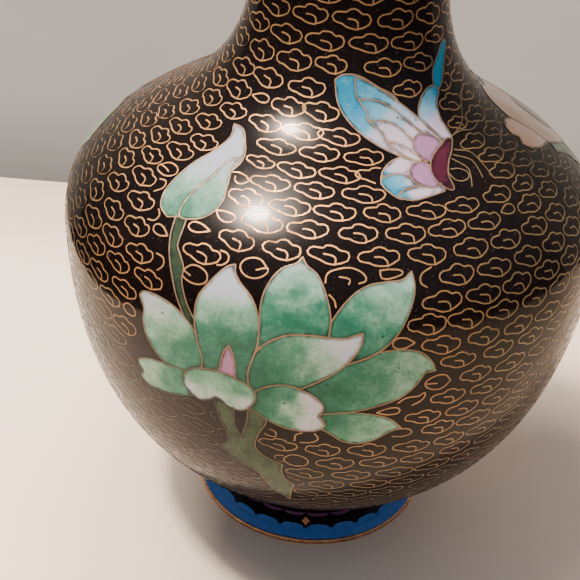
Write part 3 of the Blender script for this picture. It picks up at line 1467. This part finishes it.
@dataclass
class Clouds:
    """The rows of cloud scrolls that fill the ground between the motifs."""

    finishes: Finishes
    motifs: list
    row_gap: float = 4.49
    spacing: float = 8.95
    seed: int = 7
    zones: tuple[float, ...] = (60.0, 100.0, 140.0)
    ends: Point = (1.2, 219.6)
    step: float = 0.7
    clearance: float = 0.45
    shortest: int = 5
    rows_below: int = 10
    rows_above: int = 13
    keep_off: list = field(default_factory=list)

    def __post_init__(self) -> None:
        """Widens each motif's outlines a little, once more for each way round past 180 degrees."""
        drops = [smooth_line(points, self.step)[:-1] for points in FILLERS if points[0] in points[3:]]
        for outline in [outline for motif in self.motifs for outline in motif.outlines] + drops:
            wide = widened(outline, WALL, self.clearance)
            self.keep_off += [wide, wide - (360, 0), wide + (360, 0)]
        self.boxes = [(outline.min(axis=0), outline.max(axis=0)) for outline in self.keep_off]

    def blocked(self, spots: np.ndarray) -> np.ndarray:
        """Finds which sheet points lie on a motif or against its wires.

        Args:
            spots: rows of sheet points.

        Returns:
            True or false for each.
        """
        found = np.zeros(len(spots), bool)
        low, high = spots.min(axis=0), spots.max(axis=0)
        for (near_low, near_high), near in zip(self.boxes, self.keep_off):
            if (near_low <= high).all() and (near_high >= low).all():
                found |= contains(near, spots)
        return found

    def rows(self) -> list:
        """Lays out every row from the foot to the mouth.

        Returns:
            Pairs of a row's height and its scrolls' middles in degrees.
        """
        found = []
        for height, front in ROWS:
            turn = math.degrees(self.spacing / float(WALL.radius(np.array(height))))
            free = front[0] + 360 - front[-1]
            count = round(free / turn)
            found.append((height, [*front, *[front[-1] + free * step / count for step in range(1, count)]]))
        below = [ROWS[0][0] - self.row_gap * step for step in range(1, self.rows_below + 1)]
        above = [ROWS[-1][0] + self.row_gap * step for step in range(1, self.rows_above + 1)]
        for step, height in enumerate(below + above):
            count = round(math.tau * float(WALL.radius(np.array(height))) / self.spacing)
            start = (0.5 if step % 2 else 0.0) * 360 / count + step
            found.append((height, [start + index * 360 / count for index in range(count)]))
        return found

    def build(self) -> None:
        """Makes the scrolls in zones up the wall."""
        chance = random.Random(self.seed)
        runs = [[] for _ in range(len(self.zones) + 1)]
        for height, middles in self.rows():
            radius = float(WALL.radius(np.array(height)))
            zone = sum(height > limit for limit in self.zones)
            for middle in middles:
                runs[zone] += [(run, False) for run in self.cloud((middle, height), radius, chance)]
        for points in FILLERS:
            zone = sum(points[0][1] > limit for limit in self.zones)
            runs[zone].append((smooth_line(points, self.step), False))
        for zone, paths in enumerate(runs):
            piece = wires_object(f"cloud_wires_{zone + 1}", WALL, paths, CLOUD_WIRE)
            dress(piece, self.finishes.get(Glaze.WIRE), None)

    def cloud(self, middle: Point, radius: float, chance: random.Random) -> list:
        """The runs of one scroll that the motifs leave free.

        Args:
            middle: its middle on the sheet.
            radius: the wall's radius there.
            chance: where its small differences come from.

        Returns:
            Runs of sheet points.
        """
        drawn, shift = self.drawn(chance)
        for share, across, up in (*SQUEEZES, (1.0, 0.0, 0.0)):
            spots = drawn * share + (shift[0] + across, shift[1] + up)
            spots = np.stack([middle[0] + np.degrees(spots[:, 0] / radius), middle[1] + spots[:, 1]], axis=1)
            if not self.blocked(spots).any():
                break
        hidden = self.blocked(spots) | (spots[:, 1] < self.ends[0]) | (spots[:, 1] > self.ends[1])
        runs, index = [], 0
        while index < len(spots):
            end = index
            while end < len(spots) and not hidden[end]:
                end += 1
            if end - index >= self.shortest:
                runs.append(spots[index:end])
            index = end + 1
        return runs

    def drawn(self, chance: random.Random) -> tuple[np.ndarray, Point]:
        """One scroll as bent by hand, no two quite alike.

        Args:
            chance: where its small differences come from.

        Returns:
            Its points in millimetres about its middle, and how far that is off its place in the row.
        """
        size = chance.uniform(0.95, 1.04)
        squash = chance.uniform(0.94, 1.05)
        turn = math.radians(chance.uniform(-5, 5))
        shift = (chance.uniform(-0.25, 0.25), chance.uniform(-0.15, 0.15))
        found = []
        for x, y in CLOUD:
            x, y = x * size * squash + chance.uniform(-0.07, 0.07), y * size / squash + chance.uniform(-0.07, 0.07)
            found.append((x * math.cos(turn) - y * math.sin(turn), x * math.sin(turn) + y * math.cos(turn)))
        return np.array(found), shift


# Drops, small ovals and hooks of wire that fill the odd gaps beside the motifs.
FILLERS: tuple[tuple[Point, ...], ...] = (
    ((-38.4, 141.2), (-34.0, 142.2), (-30.2, 141.8), (-30.0, 140.8), (-33.6, 140.4), (-38.4, 141.2)),
    ((-21.2, 122.5), (-22.6, 123.4), (-25.2, 123.8), (-26.8, 123.4)),
    ((-21.2, 122.5), (-23.0, 121.4), (-24.8, 121.8), (-25.4, 122.8)),
    ((-47.2, 118.0), (-45.4, 119.6), (-42.6, 119.9), (-40.6, 118.8), (-41.6, 117.4), (-44.2, 116.9),
     (-47.2, 118.0), (-44.6, 118.4), (-43.0, 118.0)),
    ((-43.6, 115.8), (-41.4, 116.0), (-40.8, 114.6), (-42.4, 113.0)),
    ((-25.2, 114.6), (-22.6, 114.9), (-20.2, 114.2), (-21.4, 112.9), (-23.6, 113.2), (-25.2, 114.6)),
    ((-24.2, 110.2), (-26.6, 111.0), (-28.8, 110.8), (-29.2, 109.6), (-27.2, 109.1), (-24.2, 110.2)),
    ((-32.6, 106.4), (-34.8, 107.7), (-36.6, 107.4), (-36.4, 106.2), (-34.4, 105.8), (-32.6, 106.4)),
    ((-38.2, 110.4), (-37.0, 109.4), (-37.4, 108.0), (-39.2, 107.6)),
    ((-20.6, 107.2), (-19.0, 107.0), (-18.4, 105.8), (-19.4, 104.6), (-20.4, 104.4)),
    ((-10.6, 105.8), (-12.6, 107.4), (-15.2, 106.8), (-15.8, 105.0), (-13.8, 103.6), (-11.4, 104.2),
     (-10.6, 105.8), (-12.8, 105.2)),
    ((-26.8, 101.2), (-25.0, 103.0), (-22.2, 102.6), (-21.4, 101.0), (-22.8, 99.8), (-25.4, 99.9),
     (-26.8, 101.2), (-24.8, 100.9)),
    ((-33.4, 102.4), (-31.6, 102.2), (-31.0, 100.8), (-32.0, 99.4)),
    ((0.2, 104.6), (0.4, 106.4), (2.2, 107.4), (4.6, 107.8), (6.8, 107.0), (7.6, 105.6), (6.2, 104.9)),
    ((4.4, 104.6), (4.6, 105.6), (2.6, 106.0)),
    ((1.0, 102.6), (2.0, 101.6), (2.4, 100.2)),
    ((10.2, 107.4), (10.6, 105.9), (13.4, 106.2), (14.6, 107.0), (12.4, 107.6), (10.2, 107.4)),
    ((20.4, 107.6), (18.2, 106.4), (17.8, 104.8), (19.0, 103.8)),
    ((41.2, 115.3), (43.4, 116.4), (45.4, 116.2), (45.6, 114.9), (43.6, 114.4), (41.2, 115.3)),
    ((16.6, 93.3), (14.8, 94.4), (13.0, 94.2), (12.8, 92.7), (14.6, 92.2), (16.6, 93.3)),
    ((11.4, 76.7), (13.4, 77.7), (15.4, 77.6), (15.6, 76.4), (13.6, 76.0), (11.4, 76.7)),
    ((24.6, 83.2), (23.2, 84.9), (21.0, 84.8), (19.6, 83.4), (20.6, 81.9), (23.0, 81.5), (24.6, 83.2)),
    ((19.8, 83.2), (22.0, 83.0)),
    ((15.0, 78.9), (16.6, 80.2), (18.8, 80.3), (19.9, 81.0), (19.6, 79.2), (17.8, 78.0)),
    ((14.2, 71.0), (16.2, 71.6), (18.4, 71.2), (19.0, 70.0), (17.4, 69.2), (15.2, 69.6)),
    ((-4.8, 61.4), (-3.6, 62.7), (-1.4, 62.6), (-0.1, 61.2), (-0.8, 59.4), (-3.0, 59.0), (-4.8, 60.2),
     (-4.8, 61.4)),
    ((-3.0, 67.4), (-2.8, 69.4), (-1.6, 70.2)),
    ((-2.0, 67.2), (0.2, 67.6), (1.4, 68.8), (0.6, 70.4)),
    ((-39.4, 88.4), (-38.0, 89.4), (-36.4, 88.8), (-36.2, 87.4), (-37.8, 86.8), (-39.2, 87.4), (-39.4, 88.4)),
)

# The butterfly's antennae and legs, as bare wires.
ANTENNAE: tuple[tuple[Point, ...], ...] = (
    ((41.7, 134.1), (43.7, 134.6), (48.5, 134.9), (54.1, 134.2), (61.2, 135.2)),
    ((43.7, 134.6), (46.9, 135.3), (51.7, 136.6), (57.3, 139.6), (64.9, 142.9)),
    ((40.1, 131.4), (45.3, 129.6), (46.1, 126), (46.1, 122.4)),
    ((38.4, 130.3), (43.1, 128.2), (43.5, 126.6), (42.7, 123.5)),
    ((37, 129.5), (40.1, 126.6), (39.5, 124.9), (37.6, 122.3)),
    ((33.2, 126.4), (34, 124.6), (36.6, 124), (39.1, 125.2), (37.4, 126.8), (34.4, 127.2)),
)


# ------------------------------------------------------------------ vessel, foot and mouth


@dataclass
class Vessel:
    """The turned parts: ground enamel, lining, foot and mouth."""

    finishes: Finishes
    enamel: float = 1.0
    copper: float = 0.8
    seat: float = 0.3
    lining: float = 0.6
    skin: float = 0.22
    band_skin: float = 0.2
    blue_band: float = 4.5
    black_band: float = 5.0
    border_wire: float = 0.8
    lip_radius: float = 1.2
    foot_joint: Point = (25.5, 6.0)
    rim_radius: float = 31.3
    rim_height: float = 1.5
    rim_edge: float = 0.6
    base_recess: float = 3.8
    base_plate: float = 1.0
    foot_skins: Point = (0.12, 0.3)

    def add(self, node: str, section: np.ndarray, glaze: Glaze, sides: int = 192) -> None:
        """Makes one turned piece.

        Args:
            node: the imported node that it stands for.
            section: points (radius, height) round its section.
            glaze: its finish.
            sides: how many steps its turn takes.
        """
        piece = turned(f"{node}_look", section, sides)
        mark_plain(piece)
        dress(piece, self.finishes.get(glaze), node)

    def build(self) -> None:
        """Makes every turned piece."""
        end = WALL.end
        split = end - self.blue_band
        half = self.border_wire / 2
        gap = half + 0.1
        face = self.enamel + self.seat + self.copper + self.seat
        back = face + self.lining
        ground_end = split - self.black_band - self.seat
        skin, band = (self.skin, self.enamel), (self.band_skin, self.enamel)
        self.add("ground_enamel", layer(WALL, self.seat, ground_end, skin, 1.3), Glaze.BLACK, 224)
        self.add("mouth_black_enamel", layer(WALL, ground_end + self.seat, split - gap, band, 1.0), Glaze.BLACK)
        self.add("mouth_blue_enamel", layer(WALL, split + gap, end, band, 1.0), Glaze.BLUE)
        self.add("mouth_border_wire", layer(WALL, split - half, split + half, (0.06, self.enamel), half), Glaze.GILT)
        self.build_lining(face, back)
        self.build_lip(back)
        self.build_foot()

    def build_lining(self, face: float, back: float) -> None:
        """Makes the enamel inside, with its floor.

        Args:
            face: how deep under the wall's outside it starts.
            back: how deep it ends.
        """
        along = np.linspace(1.5, WALL.end, 150)
        floor = self.foot_joint[1] + self.seat
        up = WALL.cut(along, np.full(len(along), face))
        down = WALL.cut(along[::-1], np.full(len(along), back))
        bottom = up[0][0] - self.seat
        section = np.concatenate([[(0, floor), (bottom, floor)], up, down,
                                  [(bottom - self.lining, floor + self.lining), (0, floor + self.lining)]])
        self.add("lining_enamel", section, Glaze.LINING, 128)

    def build_lip(self, back: float) -> None:
        """Makes the gilt roll round the mouth.

        Args:
            back: how thick the whole wall is, lining included.
        """
        centre = back / 2
        turns = np.linspace(0, math.tau, 17)[:-1]
        reach = self.seat + self.lip_radius + self.lip_radius * np.cos(turns)
        depth = centre + (centre + self.seat) * np.sin(turns)
        place, normal = WALL.section[-1], WALL.outward[-1]
        way = np.array([-normal[1], normal[0]])
        self.add("mouth_ring", place + way * reach[:, None] - normal * depth[:, None], Glaze.GILT)

    def build_foot(self) -> None:
        """Makes the gilt foot, its enamel bands and the disc under the base."""
        seat_radius = self.foot_joint[0] - self.enamel - self.seat
        top = self.foot_joint[1] - self.seat
        flange = self.rim_radius - self.enamel - self.copper
        rim, high, edge = self.rim_radius, self.rim_height, self.rim_edge
        foot = [(flange - self.copper, 0.0), (rim - edge, 0.0), (rim - 0.25, 0.1), (rim - 0.06, 0.35),
                (rim, high / 2), (rim - 0.06, high - 0.35), (rim - 0.25, high - 0.1), (rim - edge, high),
                (flange, high), (seat_radius, top), (seat_radius - self.copper, top),
                (flange - 2 * self.copper, high)]
        self.add("foot_ring", np.array(foot), Glaze.GILT)
        inner = seat_radius - self.copper - self.seat
        under = top - self.base_plate - self.seat
        disc = [(0, self.base_recess), (inner, self.base_recess), (inner, under), (0, under)]
        self.add("base_enamel", np.array(disc), Glaze.LINING)
        low = high + self.seat
        inside = np.array([(flange + self.seat * 1.5, low), (seat_radius + self.seat, top)])
        outside = inside[0] + (self.enamel, 0), np.array((self.foot_joint[0], top))
        rows = np.linspace(0, 1, 9)[:, None]
        face = outside[0] + (outside[1] - outside[0]) * rows
        way = (outside[1] - outside[0]) / np.linalg.norm(outside[1] - outside[0])
        across = np.array([way[1], -way[0]])
        split = 4
        parting = inside[0] + (inside[1] - inside[0]) * 0.4
        blue, black = (face - across * skin for skin in self.foot_skins)
        self.add("foot_blue_enamel", np.concatenate([blue[:split], [parting, inside[0]]]), Glaze.BLUE)
        self.add("foot_black_enamel", np.concatenate([black[split - 2:], [inside[1], parting]]), Glaze.BLACK)


@dataclass
class Scallops:
    """A ring of enamel scallops, round the foot or the mouth, edged with wire where they are wired."""

    name: str
    sheet: Sheet
    low: float
    high: float
    finishes: Finishes
    count: int = 22
    upside: bool = False
    first: float = 2.0
    wired: bool = True
    glaze: Glaze = Glaze.BLUE
    wash: float = 0.5
    depths: Point = (0.1, 0.5)

    def arch(self, turn: float, width: float, low: float, high: float, steps: int = 9) -> np.ndarray:
        """One scallop's edge, from its left foot over the top to its right foot.

        Args:
            turn: degrees of its middle.
            width: how wide it is, in degrees.
            low: height of its feet on the sheet.
            high: height of its top.
            steps: how many points it has.

        Returns:
            Sheet points along the edge.
        """
        way = np.linspace(-1, 1, steps)
        rise = np.sqrt(np.clip(1 - np.abs(way) ** 2.6, 0, 1))
        return np.stack([turn + way * width / 2, low + (high - low) * rise], axis=1)

    def build(self) -> None:
        """Makes the cells and their wires."""
        width = 360 / self.count
        places, faces, wires = [], [], []
        first = 0
        flip = -1 if self.upside else 1
        base, peak = (self.high, self.low) if self.upside else (self.low, self.high)
        for index in range(self.count):
            turn = index * width + self.first
            edge = self.arch(turn, width * 0.97, base, peak - flip * 0.05)
            wires.append((edge, False))
            foot = np.stack([edge[:, 0], np.full(len(edge), base - flip * 0.01)], axis=1)
            count = len(edge)
            top = self.sheet.space(np.concatenate([edge, foot]), self.depths[0])
            bottom = self.sheet.space(np.concatenate([edge, foot]), self.depths[1])
            places += [top, bottom]
            for step in range(count - 1):
                a, b, c, d = step, step + 1, count + step + 1, count + step
                down = 2 * count
                ring = [(a, d, c, b), (a + down, b + down, c + down, d + down), (a, b, b + down, a + down),
                        (d, d + down, c + down, c)]
                faces += [tuple(first + corner for corner in face) for face in ring]
            for a, d in ((0, count), (count - 1, 2 * count - 1)):
                faces.append((first + a, first + a + 2 * count, first + d + 2 * count, first + d))
            first += 4 * count
        piece = mesh_object(f"{self.name}_cells", np.concatenate(places), faces)
        face_outwards(piece)
        mark_plain(piece, self.wash)
        dress(piece, self.finishes.get(self.glaze), None)
        if not self.wired:
            return
        wire = wires_object(f"{self.name}_wires", self.sheet, wires, SCALLOP_WIRE)
        dress(wire, self.finishes.get(Glaze.WIRE), None)


# ------------------------------------------------------------------ stage


@dataclass(frozen=True)
class Lamp:
    """A soft light: where it stands, what it faces, its size, power and colour, and whether it only adds shine."""

    name: str
    place: tuple[float, float, float]
    size: float
    power: float
    colour: tuple[float, float, float]
    aim: tuple[float, float, float] = (0.0, 0.0, 0.08)
    shine_only: bool = False


LAMPS = (
    Lamp("ceiling lamp", (-0.7, -0.17, 1.98), 0.24, 62.0, (1.0, 0.94, 0.87), (-0.01, -0.04, 0.1)),
    Lamp("lamp shine", (-0.7, -0.17, 1.98), 0.24, 120.0, (1.0, 0.74, 0.55), (-0.01, -0.04, 0.1), True),
    Lamp("ceiling glow", (-0.72, -0.08, 2.1), 0.9, 20.0, (1.0, 0.88, 0.8), (-0.01, -0.04, 0.1)),
)


@dataclass
class Studio:
    """Table, wall behind, lamps and camera."""

    finishes: Finishes
    table: tuple[Colour, Colour] = ((249, 219, 190), (255, 228, 200))
    table_size: tuple[float, float, float] = (0.7, 0.9, 1.0)
    table_place: tuple[float, float, float] = (0.182, -0.287, 0.0)
    wall: tuple[Colour, Colour] = ((184, 173, 160), (193, 179, 166))
    wall_size: tuple[float, float, float] = (8.0, 3.9, 1.0)
    wall_place: tuple[float, float, float] = (1.3, 1.5, 1.05)
    room: tuple[float, float, float, float] = (0.76, 0.9, 1.16, 1.0)
    camera_place: tuple[float, float, float] = (0.0, -0.2073, 0.1892)
    pitch: float = 32.30
    yaw: float = -2.37
    roll: float = 3.73
    lens: float = 59.45

    def build(self) -> None:
        """Sets everything up."""
        cloth = self.finishes.matt("table cloth", *self.table, 9, 0.6, 1.2, True)
        self.plane("table", self.table_size, Matrix.Translation(self.table_place), cloth)
        stand = Matrix.Translation(self.wall_place) @ Matrix.Rotation(math.radians(90), 4, "X")
        self.plane("wall behind", self.wall_size, stand, self.finishes.matt("wall paint", *self.wall, 3, 0.8, 0.74))
        for lamp in LAMPS:
            self.light(lamp)
        world = bpy.data.worlds.new("room")
        bpy.context.scene.world = world
        world.use_nodes = True
        build = Shader(world.node_tree)
        up = build.node("ShaderNodeSeparateXYZ", Vector=build.node("ShaderNodeTexCoord").outputs["Generated"])
        sky = world.node_tree.nodes["Background"]
        build.feed(sky.inputs["Color"], self.room)
        build.feed(sky.inputs["Strength"], build.span(up.outputs["Z"], -0.15, 0.9, 0.04, 0.5))
        self.camera()

    def plane(self, name: str, size: tuple, move: Matrix, finish: bpy.types.Material) -> None:
        """Sets up a flat piece of the stage, its place in its mesh and the object itself at the origin.

        Args:
            name: what it is called.
            size: its size along each axis before it is turned, in metres.
            move: how it is turned and moved.
            finish: its material.
        """
        bpy.ops.object.select_all(action="DESELECT")
        bpy.ops.mesh.primitive_plane_add(size=1.0)
        piece = bpy.context.object
        piece.name = name
        bpy.ops.object.mode_set(mode="EDIT")
        bpy.ops.mesh.select_all(action="SELECT")
        bpy.ops.transform.resize(value=size)
        bpy.ops.object.mode_set(mode="OBJECT")
        piece.data.transform(move)
        piece.data.materials.append(finish)

    def light(self, lamp: Lamp) -> None:
        """Hangs one lamp, facing its aim.

        Args:
            lamp: what to hang and where.
        """
        data = bpy.data.lights.new(lamp.name, "AREA")
        data.shape = "DISK"
        data.size = lamp.size
        data.energy = lamp.power
        data.color = lamp.colour
        piece = bpy.data.objects.new(lamp.name, data)
        piece.location = lamp.place
        piece.rotation_euler = (Vector(lamp.aim) - Vector(lamp.place)).to_track_quat("-Z", "Y").to_euler()
        piece.visible_diffuse = not lamp.shine_only
        bpy.context.scene.collection.objects.link(piece)

    def camera(self) -> None:
        """The camera: a little above the vase, looking down at it."""
        pitch, yaw, roll = (math.radians(angle) for angle in (self.pitch, self.yaw, self.roll))
        ahead = Vector((math.sin(yaw) * math.cos(pitch), math.cos(yaw) * math.cos(pitch), -math.sin(pitch)))
        right = Vector((math.cos(yaw), -math.sin(yaw), 0.0))
        up = right.cross(ahead)
        across = math.cos(roll) * right + math.sin(roll) * up
        upward = math.cos(roll) * up - math.sin(roll) * right
        frame_turn = Matrix((across, upward, -ahead)).transposed().to_4x4()
        data = bpy.data.cameras.new("camera")
        data.lens = self.lens
        data.sensor_width = 36.0
        piece = bpy.data.objects.new("camera", data)
        piece.matrix_world = Matrix.Translation(self.camera_place) @ frame_turn
        bpy.context.scene.collection.objects.link(piece)
        bpy.context.scene.camera = piece


FOOT_LOW = np.array((30.95, 1.8))
FOOT_HIGH = np.array((25.5, 5.7))


def foot_sheet() -> Sheet:
    """The outside of the foot's enamel, from the rim up to the joint with the body."""
    return Sheet(FOOT_LOW + (FOOT_HIGH - FOOT_LOW) * np.linspace(0, 1, 30)[:, None])


def foot_lozenge(foot: Sheet, finishes: Finishes) -> None:
    """The one small lozenge of reddish enamel between the scallops at the front of the foot.

    Args:
        foot: the foot's outside.
        finishes: where its finish comes from.
    """
    corners = ((0.0, 0.52), (2.3, 0.68), (0.0, 0.84), (-2.3, 0.68))
    spots = np.array([(1.3 + turn, foot.end * share) for turn, share in corners])
    places = np.concatenate([foot.space(spots, 0.08), foot.space(spots, 0.5)])
    faces = [(0, 1, 2, 3), (7, 6, 5, 4), *[(step, step + 4, (step + 1) % 4 + 4, (step + 1) % 4) for step in range(4)]]
    piece = mesh_object("foot_lozenge", places, faces)
    face_outwards(piece)
    mark_plain(piece, 0.0)
    dress(piece, finishes.get(Glaze.PEACH), None)


COPPER_NODES = ("lower_body_copper", "shoulder_copper", "neck_copper", "base_plate")


def main() -> None:
    """Builds the looks of the vase and the room round it."""
    logging.basicConfig(level=logging.INFO, format="%(message)s")
    finishes = Finishes()
    finishes.build_groups()
    Vessel(finishes).build()
    motifs = [
        Motif("lotus", LOTUS, finishes, wires_node="lotus_wires"),
        Motif("butterfly", BUTTERFLY, finishes, wires_node="butterfly_wires", extra=ANTENNAE),
        Motif("peony", PEONY, finishes, wires_node="peony_wires"),
    ]
    for motif in motifs:
        motif.build()
    Clouds(finishes, motifs).build()
    foot = foot_sheet()
    Scallops("foot_scallops", foot, foot.end * 0.36, foot.end * 0.57, finishes, 26, first=8.2, wired=False).build()
    Scallops("foot_upper_scallops", foot, foot.end * 0.86, foot.end * 0.99, finishes, 26, upside=True, first=8.2,
             wired=False, glaze=Glaze.MAUVE, wash=-0.2).build()
    foot_lozenge(foot, finishes)
    Scallops("mouth_scallops", WALL, WALL.end - 9.0, WALL.end - 5.0, finishes, upside=True).build()
    copper = finishes.get(Glaze.COPPER)
    for node in COPPER_NODES:
        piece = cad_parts[node]
        piece.data.materials.clear()
        piece.data.materials.append(copper)
    Studio(finishes).build()


if __name__ == "__main__":
    main()
